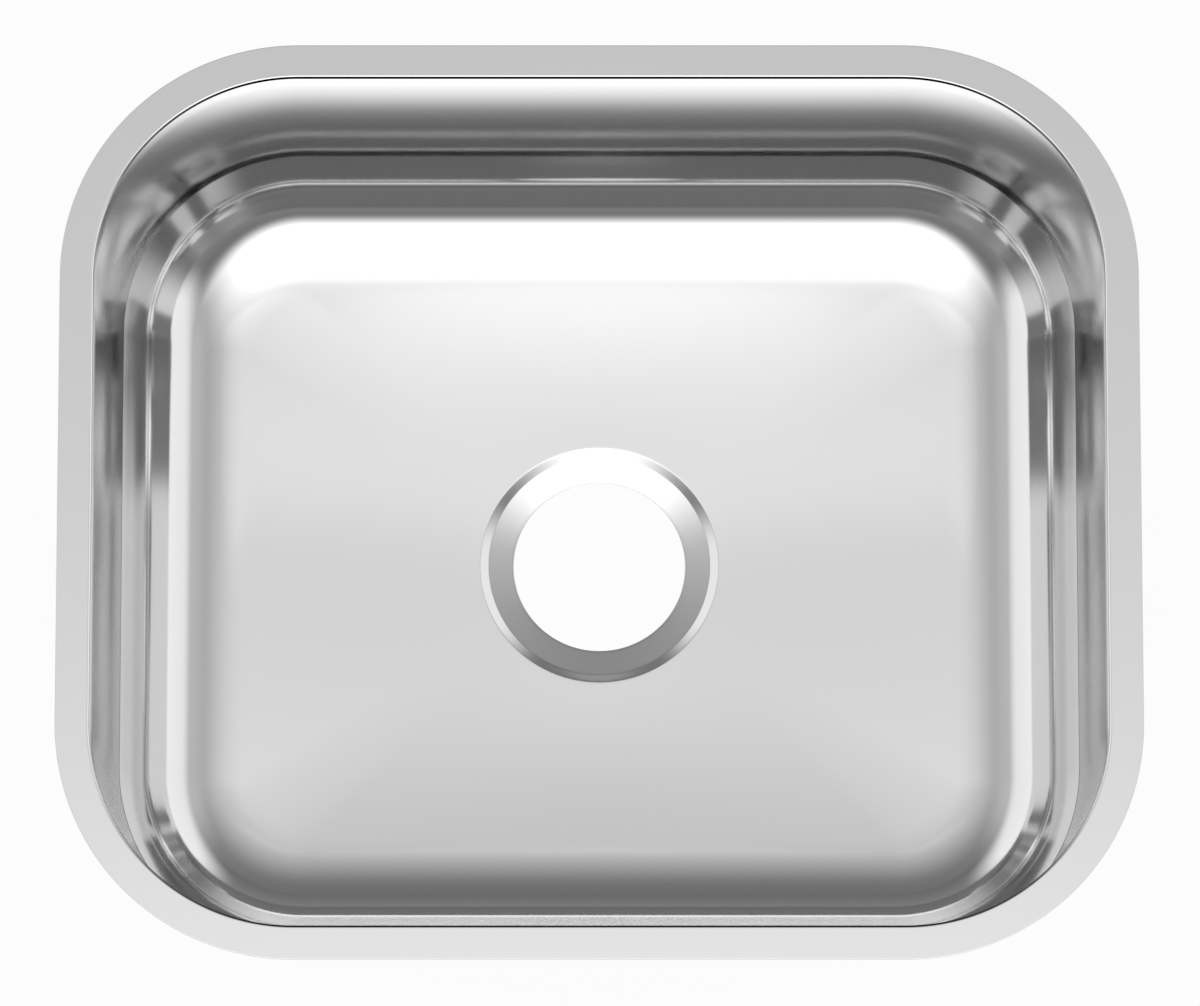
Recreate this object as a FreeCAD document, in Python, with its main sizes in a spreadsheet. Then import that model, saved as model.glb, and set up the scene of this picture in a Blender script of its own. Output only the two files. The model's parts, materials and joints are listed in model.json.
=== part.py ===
import FreeCAD, Part
import Sketcher
import math
import os
import re

# Inset kitchen bowl of pressed stainless sheet, with its sealing strip, sound pads and four swivel clamps.
# Millimetres, +Z up, X along the front, -Y to the front. The origin is under the middle of the drain seat.
# Depths are measured down from the top of the flange.

DRIVING = [
    # bowl
    ("bowl_length", 400.0),  # opening along X, where the wall meets the flange
    ("bowl_width", 340.0),  # opening along Y
    ("corner_radius", 80.5),  # corners of the opening
    ("flange_width", 13.5),  # from the opening to the cut edge
    ("sheet_thickness", 0.8),
    ("rim_radius", 1.2),  # from the flange into the wall
    ("upper_depth", 107.0),  # flange to the crease in the wall
    ("wall_draft", 3.5),  # degrees off vertical
    ("crease_radius", 1.5),
    ("middle_width", 8.3),  # band of the wall under the crease
    ("middle_slope", 60.0),  # degrees off level
    ("bend_radius", 30.0),  # from that band into the lower wall
    ("lower_depth", 30.7),  # crease to the edge of the floor
    ("lower_draft", 48.5),  # degrees off vertical
    ("floor_fillet", 29.0),
    ("skirt_slope", 16.5),  # soft edge of the floor, past the fillet
    ("skirt_flat", 0.5),  # its straight part
    ("skirt_radius", 78.0),  # from the skirt into the floor
    ("floor_fall", 2.4),  # from the edge of the floor to the drain seat
    # drain seat
    ("seat_radius", 48.7),
    ("seat_bevel_width", 3.4),
    ("seat_bevel_depth", 1.5),
    ("seat_fall", 2.1),  # from the bevel to the hole
    ("drain_radius", 35.0),
    # sealing strip
    ("seal_edge_gap", 0.7),  # from the flange's edge
    ("seal_width", 4.8),
    ("seal_thickness", 2.5),
    # sound pads
    ("base_pad_length", 220.0),
    ("base_pad_width", 160.0),
    ("base_pad_corner", 25.0),
    ("base_pad_thickness", 2.0),  # at the drain
    ("base_pad_hole_gap", 6.0),  # round the drain seat
    ("long_pad_length", 150.0),
    ("short_pad_length", 100.0),
    ("wall_pad_height", 34.0),
    ("wall_pad_depth", 60.0),  # to its upper edge
    ("wall_pad_thickness", 2.0),
    ("wall_pad_corner", 8.0),
    ("glue_line", 0.2),  # between a pad and the sheet
    # clamps
    ("clamp_spread", 50.0),  # of the two clamps on a short side, from its middle
    ("bracket_width", 18.0),
    ("bracket_thickness", 1.2),
    ("bracket_bend", 0.4),  # inside radius
    ("bracket_depth", 14.0),  # to its upper edge
    ("foot_depth", 35.4),  # to the underside of its foot
    ("foot_overhang", 3.5),  # past the screw
    ("foot_hole", 4.6),
    ("nut_width", 7.0),
    ("nut_height", 3.2),
    ("nut_corner", 0.6),
    ("nut_gap", 0.3),  # to the bracket's upright
    ("screw_diameter", 4.0),
    ("screw_length", 25.0),  # under the head
    ("head_diameter", 7.0),
    ("head_height", 2.6),
    ("slot_width", 1.2),
    ("slot_depth", 1.1),
    ("screw_point", 0.5),  # chamfer at its end
    ("thread_clearance", 0.1),  # each side, in the nut
    ("washer_diameter", 7.4),
    ("washer_thickness", 0.5),
    ("hole_clearance", 0.2),  # each side, in the washer and the claw
    ("clamp_travel", 14.0),  # of the claw, from slack to tight
    ("clamp_gap", 1.0),  # claw to foot when tight
    ("claw_length", 24.0),  # from the screw to the tip
    ("claw_width", 7.2),
    ("claw_thickness", 2.5),
    ("claw_bend", 1.0),  # inside radius
    ("claw_rise", 7.4),  # of the tip above the arm
    ("claw_tooth", 1.2),  # chamfer that sharpens the tip
    ("heel_gap", 0.5),  # to the wall when the claw is out and tight
]

# Sizes that follow from the driving ones
DERIVED = [
    ("wall_inset", "upper_depth * tan(wall_draft)"),
    ("middle_drop", "middle_width * tan(middle_slope)"),
    ("fillet_reach", "floor_fillet * tan((90 - lower_draft - skirt_slope) / 2)"),
    ("skirt_reach", "skirt_radius * tan(skirt_slope / 2)"),
    ("skirt_width", "(fillet_reach + skirt_flat + skirt_reach) * cos(skirt_slope)"),
    ("lower_drop", "lower_depth - middle_drop - skirt_width * tan(skirt_slope)"),
    ("lower_inset", "lower_drop * tan(lower_draft)"),
    ("floor_inset", "wall_inset + middle_width + lower_inset + skirt_width + skirt_reach"),
    ("floor_depth", "upper_depth + lower_depth"),
    ("seat_depth", "floor_depth + floor_fall"),
    ("height", "seat_depth + seat_bevel_depth + seat_fall + sheet_thickness"),
    ("floor_length", "bowl_length - 2 * floor_inset"),
    ("floor_width", "bowl_width - 2 * floor_inset"),
    ("floor_corner", "corner_radius - floor_inset"),
    ("seat_flat", "seat_radius - seat_bevel_width"),
    ("seal_outset", "flange_width - seal_edge_gap"),
    ("seal_inset", "seal_outset - seal_width"),
    ("nut_top", "foot_depth - bracket_thickness - nut_height"),
    ("upright_face", "(sheet_thickness + bracket_thickness - nut_top * sin(wall_draft)) / cos(wall_draft)"),
    ("screw_offset", "upright_face + nut_gap + nut_width / 2"),
    ("claw_depth", "foot_depth + clamp_gap + clamp_travel + claw_thickness"),
    ("tight_depth", "foot_depth + clamp_gap"),
    ("tight_wall", "(sheet_thickness - tight_depth * sin(wall_draft)) / cos(wall_draft)"),
    ("heel_length", "screw_offset - tight_wall - heel_gap"),
]

doc = FreeCAD.newDocument("sink")
sheet = doc.addObject("Spreadsheet::Sheet", "sheet")
for row, (alias, content) in enumerate(DRIVING + DERIVED, start=1):
    formula = isinstance(content, str)
    sheet.set(f"A{row}", alias)
    sheet.set(f"B{row}", f"={content}" if formula else str(content))
    sheet.setAlias(f"B{row}", alias)
doc.recompute()

subparts = []
START, END, CENTRE = 1, 2, 3
ORIGIN = (-1, 1)
Z_AXIS = FreeCAD.Vector(0, 0, 1)


def size(expression):
    return float(sheet.evalExpression(expression))


def cells(expression):
    """The same expression as objects outside the sheet read it."""
    names = "|".join(name for name, _ in DRIVING + DERIVED)
    return re.sub(rf"\b({names})\b", r"sheet.\1", expression)


def bind(thing, path, expression):
    thing.setExpression(path, cells(expression))


def new_body(label):
    body = doc.addObject("PartDesign::Body", label)
    body.Label = label
    subparts.append(body)
    return body


def new_sketch(body, plane, name, height=None):
    sketch = body.newObject("Sketcher::SketchObject", name)
    support = [f for f in body.Origin.OriginFeatures if f.Role == plane][0]
    sketch.AttachmentSupport = [(support, "")]
    sketch.MapMode = "FlatFace"
    if height:
        bind(sketch, "AttachmentOffset.Base.z", height)
    return sketch


def feature(body, kind, name, profile, **settings):
    """A feature whose text settings are expressions and whose other settings are values."""
    made = body.newObject(f"PartDesign::{kind}", name)
    made.Profile = profile
    for key, value in settings.items():
        if isinstance(value, str) and key in ("Length", "Angle"):
            bind(made, key, value)
        else:
            setattr(made, key, value)
    return made


def round_edge(body, label, base, middle, radius):
    """Rounds the edge of a feature whose middle lies at a point."""
    doc.recompute()
    point = FreeCAD.Vector(*middle)
    found = [i for i, edge in enumerate(base.Shape.Edges, 1) if edge.CenterOfMass.isEqual(point, 1e-6)]
    rounding = body.newObject("PartDesign::Fillet", label)
    rounding.Base = (base, [f"Edge{i}" for i in found])
    bind(rounding, "Radius", radius)
    return rounding


def dimension(sketch, kind, places, expression, name):
    number = sketch.addConstraint(Sketcher.Constraint(kind, *places, size(expression)))
    sketch.renameConstraint(number, name)
    bind(sketch, f"Constraints.{name}", expression)


def vector(x, y):
    return FreeCAD.Vector(x, y, 0)


def draw_arc(sketch, centre, radius, first, last):
    circle = Part.Circle(vector(*centre), Z_AXIS, radius)
    return sketch.addGeometry(Part.ArcOfCircle(circle, first, last))


def circle(sketch, radius, name, across=None):
    """A circle at the origin, or at a distance from it along the sketch's second axis."""
    centre = vector(0, size(across) if across else 0)
    number = sketch.addGeometry(Part.Circle(centre, Z_AXIS, size(radius)))
    if across:
        sketch.addConstraint(Sketcher.Constraint("PointOnObject", number, CENTRE, -2))
        dimension(sketch, "DistanceY", [*ORIGIN, number, CENTRE], across, f"{name}_place")
    else:
        sketch.addConstraint(Sketcher.Constraint("Coincident", number, CENTRE, *ORIGIN))
    dimension(sketch, "Radius", [number], radius, name)


def rounded_rectangle(sketch, length, width, radius, name):
    """A rounded rectangle about the origin."""
    x, y, r = size(length) / 2, size(width) / 2, size(radius)
    corners = [(1, -1), (1, 1), (-1, 1), (-1, -1)]
    starts = [(r - x, -y), (x, r - y), (x - r, y), (-x, y - r)]
    ends = [(x - r, -y), (x, y - r), (r - x, y), (-x, r - y)]
    lines, arcs = [], []
    for i, (side, end) in enumerate(corners):
        lines.append(sketch.addGeometry(Part.LineSegment(vector(*starts[i]), vector(*ends[i]))))
        centre = (side * (x - r), end * (y - r))
        arcs.append(draw_arc(sketch, centre, r, (i - 1) * math.pi / 2, i * math.pi / 2))
    for i in range(4):
        sketch.addConstraint(Sketcher.Constraint("Tangent", lines[i], END, arcs[i], START))
        sketch.addConstraint(Sketcher.Constraint("Tangent", arcs[i], END, lines[(i + 1) % 4], START))
    level(sketch, "Horizontal", lines[0::2])
    level(sketch, "Vertical", lines[1::2])
    for arc in arcs[1:]:
        sketch.addConstraint(Sketcher.Constraint("Equal", arcs[0], arc))
    sketch.addConstraint(Sketcher.Constraint("Symmetric", arcs[0], CENTRE, arcs[2], CENTRE, *ORIGIN))
    dimension(sketch, "Radius", [arcs[0]], radius, f"{name}_radius")
    dimension(sketch, "DistanceX", [lines[3], START, lines[1], START], length, f"{name}_length")
    dimension(sketch, "DistanceY", [lines[0], START, lines[2], START], width, f"{name}_width")


def polygon(sketch, points):
    """A closed chain of lines. Gives the number of each."""
    lines = []
    for first, second in zip(points, points[1:] + points[:1]):
        lines.append(sketch.addGeometry(Part.LineSegment(vector(*first), vector(*second))))
    for first, second in zip(lines, lines[1:] + lines[:1]):
        sketch.addConstraint(Sketcher.Constraint("Coincident", first, END, second, START))
    return lines


def level(sketch, kind, lines):
    for line in lines:
        sketch.addConstraint(Sketcher.Constraint(kind, line))


def rectangle(sketch, length, width, name):
    x, y = size(length) / 2, size(width) / 2
    lines = polygon(sketch, [(-x, -y), (x, -y), (x, y), (-x, y)])
    level(sketch, "Horizontal", lines[0::2])
    level(sketch, "Vertical", lines[1::2])
    sketch.addConstraint(Sketcher.Constraint("Symmetric", lines[0], START, lines[2], START, *ORIGIN))
    dimension(sketch, "DistanceX", [lines[0], START, lines[0], END], length, f"{name}_length")
    dimension(sketch, "DistanceY", [lines[1], START, lines[1], END], width, f"{name}_width")


# Bowl: a section of the sheet carried round the opening, then the floor and the drain seat


def toward(a, b):
    gap = math.dist(a, b)
    return ((b[0] - a[0]) / gap, (b[1] - a[1]) / gap)


def rounded_chain(corners, radii):
    """A line with rounded corners, as ("line", a, b) and ("arc", a, b, centre, radius) pieces."""
    chain, here = [], corners[0]
    for before, corner, after, radius in zip(corners, corners[1:], corners[2:], radii):
        back, on = toward(corner, before), toward(corner, after)
        half = math.acos(back[0] * on[0] + back[1] * on[1]) / 2
        reach = radius / math.tan(half)
        a = (corner[0] + back[0] * reach, corner[1] + back[1] * reach)
        b = (corner[0] + on[0] * reach, corner[1] + on[1] * reach)
        middle = toward((0, 0), (back[0] + on[0], back[1] + on[1]))
        far = radius / math.sin(half)
        centre = (corner[0] + middle[0] * far, corner[1] + middle[1] * far)
        chain += [("line", here, a), ("arc", a, b, centre, radius)]
        here = b
    return chain


def draw_chain(sketch, chain):
    """Draws a chain of tangent pieces. Gives (number, entering end, leaving end) of each."""
    drawn = []
    for kind, a, b, *round_ in chain:
        if kind == "line":
            number = sketch.addGeometry(Part.LineSegment(vector(*a), vector(*b)))
            drawn.append((number, START, END))
            continue
        centre, radius = round_
        first = math.atan2(a[1] - centre[1], a[0] - centre[0])
        last = math.atan2(b[1] - centre[1], b[0] - centre[0])
        turn = (last - first + math.pi) % (2 * math.pi) - math.pi
        if turn > 0:
            drawn.append((draw_arc(sketch, centre, radius, first, first + turn), START, END))
        else:
            drawn.append((draw_arc(sketch, centre, radius, first + turn, first), END, START))
    for (one, _, leaving), (two, entering, _) in zip(drawn, drawn[1:]):
        sketch.addConstraint(Sketcher.Constraint("Tangent", one, leaving, two, entering))
    return drawn


def offset_corners(corners, gap):
    """Corners of the chain that runs parallel, to the left of the way it is drawn."""
    lines = []
    for a, b in zip(corners, corners[1:]):
        way = toward(a, b)
        lines.append(((a[0] - way[1] * gap, a[1] + way[0] * gap), way))
    moved = [lines[0][0]]
    for (p, u), (q, v) in zip(lines, lines[1:]):
        along = ((q[0] - p[0]) * v[1] - (q[1] - p[1]) * v[0]) / (u[0] * v[1] - u[1] * v[0])
        moved.append((p[0] + u[0] * along, p[1] + u[1] * along))
    last, way = corners[-1], lines[-1][1]
    return moved + [(last[0] - way[1] * gap, last[1] + way[0] * gap)]


def wall_section(sketch):
    """Section of the sheet at the rear, from the flange's edge to the edge of the floor."""
    rim = (size("bowl_width / 2"), size("height"))
    crease = (rim[0] - size("wall_inset"), rim[1] - size("upper_depth"))
    bend = (crease[0] - size("middle_width"), crease[1] - size("middle_drop"))
    foot = (bend[0] - size("lower_inset"), bend[1] - size("lower_drop"))
    heel = (foot[0] - size("skirt_width"), rim[1] - size("floor_depth"))
    corners = [
        (rim[0] + size("flange_width"), rim[1]),
        rim,
        crease,
        bend,
        foot,
        heel,
        (heel[0] - size("skirt_reach"), heel[1]),
    ]
    radii = ["rim_radius", "crease_radius", "bend_radius", "floor_fillet", "skirt_radius"]
    gap = size("sheet_thickness")
    # the underside is tighter by the sheet at the rim, and wider at the other bends
    signs = [-1, 1, 1, 1, 1]
    inner = draw_chain(sketch, rounded_chain(corners, [size(r) for r in radii]))
    outer_radii = [size(r) + sign * gap for r, sign in zip(radii, signs)]
    outer = draw_chain(sketch, rounded_chain(offset_corners(corners, gap), outer_radii))

    def ends(chain, i, leaving):
        number, first, last = chain[i]
        return number, last if leaving else first

    edges = []
    for leaving, i in ((False, 0), (True, -1)):
        a, b = ends(inner, i, leaving), ends(outer, i, leaving)
        spots = [sketch.getPoint(*p) for p in (a, b)]
        number = sketch.addGeometry(Part.LineSegment(*spots))
        sketch.addConstraint(Sketcher.Constraint("Coincident", number, START, *a))
        sketch.addConstraint(Sketcher.Constraint("Coincident", number, END, *b))
        edges.append(number)
    level(sketch, "Vertical", edges)
    for side in (inner, outer):
        sketch.addConstraint(Sketcher.Constraint("Horizontal", side[0][0]))
    sketch.addConstraint(Sketcher.Constraint("Vertical", inner[9][0], CENTRE, *ends(inner, 9, True)))
    for i in (1, 3, 5, 7, 9):
        sketch.addConstraint(Sketcher.Constraint("Coincident", inner[i][0], CENTRE, outer[i][0], CENTRE))
    for i in (2, 4, 6, 8):
        sketch.addConstraint(Sketcher.Constraint("Parallel", inner[i][0], outer[i][0]))
    flange_edge = [*ends(outer, 0, False), *ends(inner, 0, False)]
    dimension(sketch, "DistanceY", flange_edge, "sheet_thickness", "sheet")

    points = []
    for i, corner in zip((0, 2, 4, 6), (rim, crease, bend, foot)):
        number = sketch.addGeometry(Part.Point(vector(*corner)), True)
        for line in (inner[i][0], inner[i + 2][0]):
            sketch.addConstraint(Sketcher.Constraint("PointOnObject", number, START, line))
        points.append(number)
    rim_point, crease_point, bend_point, foot_point = points
    for i, radius in zip((1, 3, 5, 7, 9), radii):
        dimension(sketch, "Radius", [inner[i][0]], radius, radius)
    dimension(sketch, "DistanceX", [*ORIGIN, rim_point, START], "bowl_width / 2", "opening")
    dimension(sketch, "DistanceY", [*ORIGIN, rim_point, START], "height", "top")
    dimension(sketch, "DistanceX", [rim_point, START, *ends(inner, 0, False)], "flange_width", "flange")
    dimension(sketch, "DistanceY", [crease_point, START, rim_point, START], "upper_depth", "upper")
    dimension(sketch, "DistanceX", [crease_point, START, rim_point, START], "wall_inset", "inset")
    dimension(sketch, "DistanceX", [bend_point, START, crease_point, START], "middle_width", "middle")
    dimension(sketch, "DistanceY", [bend_point, START, crease_point, START], "middle_drop", "drop")
    dimension(sketch, "DistanceX", [foot_point, START, bend_point, START], "lower_inset", "lower")
    dimension(sketch, "DistanceY", [foot_point, START, bend_point, START], "lower_drop", "lower_wall")
    dimension(sketch, "DistanceY", [*ends(inner, 9, True), rim_point, START], "floor_depth", "floor")
    dimension(sketch, "DistanceX", [*ends(inner, 9, True), rim_point, START], "floor_inset", "reach")


def floor_fall(body, kind, name, below):
    """The shallow hopper from the edge of the floor to the drain seat, or one a little below it."""
    edge = new_sketch(body, "XY_Plane", f"{name}_edge", f"height - floor_depth{below}")
    rounded_rectangle(edge, "floor_length", "floor_width", "floor_corner", name)
    ring = new_sketch(body, "XY_Plane", f"{name}_ring", f"height - seat_depth{below}")
    circle(ring, "seat_radius", name)
    doc.recompute()
    feature(body, kind, f"{name}_fall", edge, Sections=[ring], Ruled=True)
    doc.recompute()


def make_bowl():
    body = new_body("bowl")
    path = new_sketch(body, "XY_Plane", "bowl_path", "height")
    rounded_rectangle(path, "bowl_length", "bowl_width", "corner_radius", "opening")
    section = new_sketch(body, "YZ_Plane", "bowl_section")
    wall_section(section)
    doc.recompute()
    wall = body.newObject("PartDesign::AdditivePipe", "bowl_wall")
    wall.Profile = section
    wall.Spine = (path, [""])
    wall.Mode = "Frenet"
    doc.recompute()

    outline = new_sketch(body, "XY_Plane", "floor_outline", "height - floor_depth")
    rounded_rectangle(outline, "floor_length", "floor_width", "floor_corner", "floor")
    feature(body, "Pad", "floor_sheet", outline, Length="sheet_thickness", Reversed=True)
    doc.recompute()
    floor_fall(body, "AdditiveLoft", "under", " - sheet_thickness")
    floor_fall(body, "SubtractiveLoft", "upper", "")
    hole = new_sketch(body, "XY_Plane", "seat_hole", "height - seat_depth")
    circle(hole, "seat_radius", "seat")
    feature(body, "Pocket", "seat_opening", hole, Type="ThroughAll")
    doc.recompute()
    seat = new_sketch(body, "XZ_Plane", "seat_section")
    seat_section(seat)
    feature(body, "Revolution", "drain_seat", seat, ReferenceAxis=(seat, ["V_Axis"]), Angle="360")
    doc.recompute()


def seat_section(sketch):
    """Section of the drain seat: a bevel and a shallow cone, of the sheet's thickness, down to the hole."""
    rim = (size("seat_radius"), size("height - seat_depth"))
    flat = (size("seat_flat"), rim[1] - size("seat_bevel_depth"))
    hole = (size("drain_radius"), flat[1] - size("seat_fall"))
    gap = size("sheet_thickness")
    upper = [rim, flat, hole]
    under = [(x, y - gap) for x, y in reversed(upper)]
    lines = polygon(sketch, upper + under)
    level(sketch, "Vertical", [lines[2], lines[5]])
    sketch.addConstraint(Sketcher.Constraint("Parallel", lines[0], lines[4]))
    sketch.addConstraint(Sketcher.Constraint("Parallel", lines[1], lines[3]))
    dimension(sketch, "DistanceY", [lines[2], END, lines[2], START], "sheet_thickness", "sheet")
    dimension(sketch, "DistanceY", [lines[5], START, lines[5], END], "sheet_thickness", "edge")
    dimension(sketch, "DistanceX", [*ORIGIN, lines[0], START], "seat_radius", "rim")
    dimension(sketch, "DistanceY", [*ORIGIN, lines[0], START], "height - seat_depth", "top")
    dimension(sketch, "DistanceX", [*ORIGIN, lines[0], END], "seat_flat", "flat")
    dimension(sketch, "DistanceY", [lines[0], END, lines[0], START], "seat_bevel_depth", "bevel")
    dimension(sketch, "DistanceX", [*ORIGIN, lines[1], END], "drain_radius", "hole")
    dimension(sketch, "DistanceY", [lines[1], END, lines[1], START], "seat_fall", "fall")


# Sealing strip and sound pads


def make_seal():
    body = new_body("flange_seal")
    ring = new_sketch(body, "XY_Plane", "seal_ring", "height - sheet_thickness")
    for name in ("seal_outset", "seal_inset"):
        sides = [f"{side} + 2 * {name}" for side in ("bowl_length", "bowl_width")]
        rounded_rectangle(ring, *sides, f"corner_radius + {name}", name)
    feature(body, "Pad", "seal_strip", ring, Length="seal_thickness", Reversed=True)


def make_base_pad():
    """A pad under the floor, which follows the floor's fall and clears the drain seat."""
    body = new_body("base_pad")
    below = " - sheet_thickness - glue_line"
    outline = new_sketch(body, "XY_Plane", "base_pad_outline", f"height - floor_depth{below}")
    rounded_rectangle(outline, "base_pad_length", "base_pad_width", "base_pad_corner", "pad")
    circle(outline, "seat_radius + base_pad_hole_gap", "hole")
    feature(body, "Pad", "base_pad_slab", outline, Length="floor_fall + base_pad_thickness", Reversed=True)
    doc.recompute()
    floor_fall(body, "SubtractiveLoft", "base_pad", below)


def on_wall(depth, gap):
    """The point of a side's own frame at a depth, and a gap out from the wall's inner face."""
    lean = math.radians(size("wall_draft"))
    along = (gap * math.sin(lean) - depth) / math.cos(lean)
    return (gap * math.cos(lean) + along * math.sin(lean), -depth)


def across_wall(point, gap):
    lean = math.radians(size("wall_draft"))
    return (point[0] + gap * math.cos(lean), point[1] - gap * math.sin(lean))


def make_wall_pad(side, length):
    """A flat pad on the outside of one wall, with rounded corners."""
    body = new_body(f"{side}_pad")
    section = new_sketch(body, "YZ_Plane", f"{side}_pad_section")
    gap = size("sheet_thickness + glue_line")
    top = on_wall(size("wall_pad_depth"), gap)
    low = on_wall(size("wall_pad_depth + wall_pad_height * cos(wall_draft)"), gap)
    outside = [across_wall(p, size("wall_pad_thickness")) for p in (low, top)]
    lines = polygon(section, [top, low, *outside])
    for end in (1, 3):
        section.addConstraint(Sketcher.Constraint("Perpendicular", lines[0], lines[end]))
    section.addConstraint(Sketcher.Constraint("Parallel", lines[0], lines[2]))
    dimension(section, "Distance", [*ORIGIN, lines[0]], "sheet_thickness + glue_line", "gap")
    dimension(section, "DistanceY", [lines[0], START, *ORIGIN], "wall_pad_depth", "depth")
    dimension(section, "Distance", [lines[0]], "wall_pad_height", "height")
    lean = "wall_pad_height * sin(wall_draft)"
    dimension(section, "DistanceX", [lines[0], END, lines[0], START], lean, "lean")
    dimension(section, "Distance", [lines[1]], "wall_pad_thickness", "thickness")
    slab = feature(body, "Pad", f"{side}_pad_slab", section, Length=length, Midplane=True)
    doc.recompute()
    thin = size("wall_pad_thickness")
    corners = [f"Edge{i}" for i, edge in enumerate(slab.Shape.Edges, 1) if abs(edge.Length - thin) < 1e-6]
    rounding = body.newObject("PartDesign::Fillet", f"{side}_pad_corners")
    rounding.Base = (slab, corners)
    bind(rounding, "Radius", "wall_pad_corner")
    place(body, side, "0", "0", "height")


# Clamps. Each is made in the frame of its side: X along the wall, Y outward from the opening, Z up.

SIDES = {
    # turn from the rear side, and the distance of the opening's edge from the middle
    "rear": (0, "bowl_width / 2"),
    "left": (90, "bowl_length / 2"),
    "front": (180, "bowl_width / 2"),
    "right": (270, "bowl_length / 2"),
}


def place(body, side, along, out, up):
    turn, edge = SIDES[side]
    body.Placement = FreeCAD.Placement(FreeCAD.Vector(), FreeCAD.Rotation(Z_AXIS, turn))
    bind(body, "Placement.Base.x", f"cos({turn}) * ({along}) - sin({turn}) * ({edge} + {out})")
    bind(body, "Placement.Base.y", f"sin({turn}) * ({along}) + cos({turn}) * ({edge} + {out})")
    bind(body, "Placement.Base.z", up)


def make_bracket(name, side, along):
    """An angle of strip: its upright lies on the wall, and its foot carries the nut."""
    body = new_body(f"{name}_bracket")
    section = new_sketch(body, "YZ_Plane", f"{name}_bracket_section")
    sheet_gap, strip = size("sheet_thickness"), size("bracket_thickness")
    under = -size("foot_depth")
    end = size("screw_offset + foot_overhang")
    top = on_wall(size("bracket_depth"), sheet_gap)
    heel = on_wall(size("foot_depth"), sheet_gap)
    bend = on_wall(size("foot_depth - bracket_thickness"), sheet_gap + strip)
    outline = [heel, (end, under), (end, under + strip), bend, across_wall(top, strip), top]
    foot, tip, upper, outside, edge, inside = polygon(section, outline)
    level(section, "Horizontal", [foot, upper])
    level(section, "Vertical", [tip])
    section.addConstraint(Sketcher.Constraint("Parallel", outside, inside))
    section.addConstraint(Sketcher.Constraint("Perpendicular", edge, inside))
    rise = "foot_depth - bracket_depth"
    dimension(section, "Distance", [*ORIGIN, inside], "sheet_thickness", "wall")
    dimension(section, "DistanceY", [inside, END, inside, START], rise, "rise")
    dimension(section, "DistanceX", [inside, END, inside, START], f"({rise}) * tan(wall_draft)", "lean")
    dimension(section, "DistanceY", [foot, START, *ORIGIN], "foot_depth", "depth")
    dimension(section, "DistanceY", [tip, START, tip, END], "bracket_thickness", "strip")
    dimension(section, "Distance", [outside, START, inside], "bracket_thickness", "upright")
    dimension(section, "DistanceX", [*ORIGIN, foot, END], "screw_offset + foot_overhang", "reach")
    strip_pad = feature(body, "Pad", f"{name}_bracket_strip", section, Length="bracket_width", Midplane=True)
    inner_bend = round_edge(body, f"{name}_bracket_inner", strip_pad, (0, *bend), "bracket_bend")
    outer = "bracket_bend + bracket_thickness"
    round_edge(body, f"{name}_bracket_outer", inner_bend, (0, *heel), outer)
    hole = new_sketch(body, "XY_Plane", f"{name}_bracket_hole")
    circle(hole, "foot_hole / 2", "hole", "screw_offset")
    feature(body, "Pocket", f"{name}_bracket_pierced", hole, Type="ThroughAll")
    place(body, side, along, "0", "height")


def make_nut(name, side, along):
    body = new_body(f"{name}_nut")
    outline = new_sketch(body, "XY_Plane", f"{name}_nut_outline")
    rectangle(outline, "nut_width", "nut_width", "nut")
    circle(outline, "screw_diameter / 2 + thread_clearance", "thread")
    block = feature(body, "Pad", f"{name}_nut_block", outline, Length="nut_height")
    half, middle = size("nut_width / 2"), size("nut_height / 2")
    for i, (x, y) in enumerate(((1, 1), (-1, 1), (-1, -1), (1, -1))):
        block = round_edge(body, f"{name}_nut_corner{i}", block, (x * half, y * half, middle), "nut_corner")
    place(body, side, along, "screw_offset", "height - foot_depth + bracket_thickness")


def make_screw(name, side, along):
    """A slotted cheese-head screw, head down. Its origin is under the washer."""
    body = new_body(f"{name}_screw")
    section = new_sketch(body, "XZ_Plane", f"{name}_screw_section")
    head, shank = size("head_diameter / 2"), size("screw_diameter / 2")
    low, high, point = -size("head_height"), size("screw_length"), size("screw_point")
    outline = [(0, low), (head, low), (head, 0), (shank, 0), (shank, high - point)]
    outline += [(shank - point, high), (0, high)]
    bottom, rim, seat, side_line, bevel, top, axis = polygon(section, outline)
    level(section, "Horizontal", [bottom, seat, top])
    level(section, "Vertical", [rim, side_line])
    for place_on_axis in ((bottom, START), (top, END)):
        section.addConstraint(Sketcher.Constraint("PointOnObject", *place_on_axis, -2))
    section.addConstraint(Sketcher.Constraint("PointOnObject", seat, START, -1))
    dimension(section, "DistanceX", [bottom, START, bottom, END], "head_diameter / 2", "head")
    dimension(section, "DistanceY", [rim, START, rim, END], "head_height", "head_height")
    dimension(section, "DistanceX", [*ORIGIN, side_line, START], "screw_diameter / 2", "shank")
    dimension(section, "DistanceY", [*ORIGIN, top, START], "screw_length", "length")
    dimension(section, "DistanceX", [bevel, END, bevel, START], "screw_point", "point_in")
    dimension(section, "DistanceY", [bevel, START, bevel, END], "screw_point", "point_up")
    spin = (section, ["V_Axis"])
    feature(body, "Revolution", f"{name}_screw_turned", section, ReferenceAxis=spin, Angle="360")
    doc.recompute()
    slot = new_sketch(body, "XY_Plane", f"{name}_screw_slot", "0 - head_height")
    rectangle(slot, "2 * head_diameter", "slot_width", "slot")
    feature(body, "Pocket", f"{name}_screw_slotted", slot, Length="slot_depth", Reversed=True)
    place(body, side, along, "screw_offset", "height - claw_depth - washer_thickness")


def make_washer(name, side, along):
    body = new_body(f"{name}_washer")
    outline = new_sketch(body, "XY_Plane", f"{name}_washer_outline")
    circle(outline, "washer_diameter / 2", "rim")
    circle(outline, "screw_diameter / 2 + hole_clearance", "hole")
    feature(body, "Pad", f"{name}_washer_disc", outline, Length="washer_thickness")
    place(body, side, along, "screw_offset", "height - claw_depth - washer_thickness")


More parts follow.
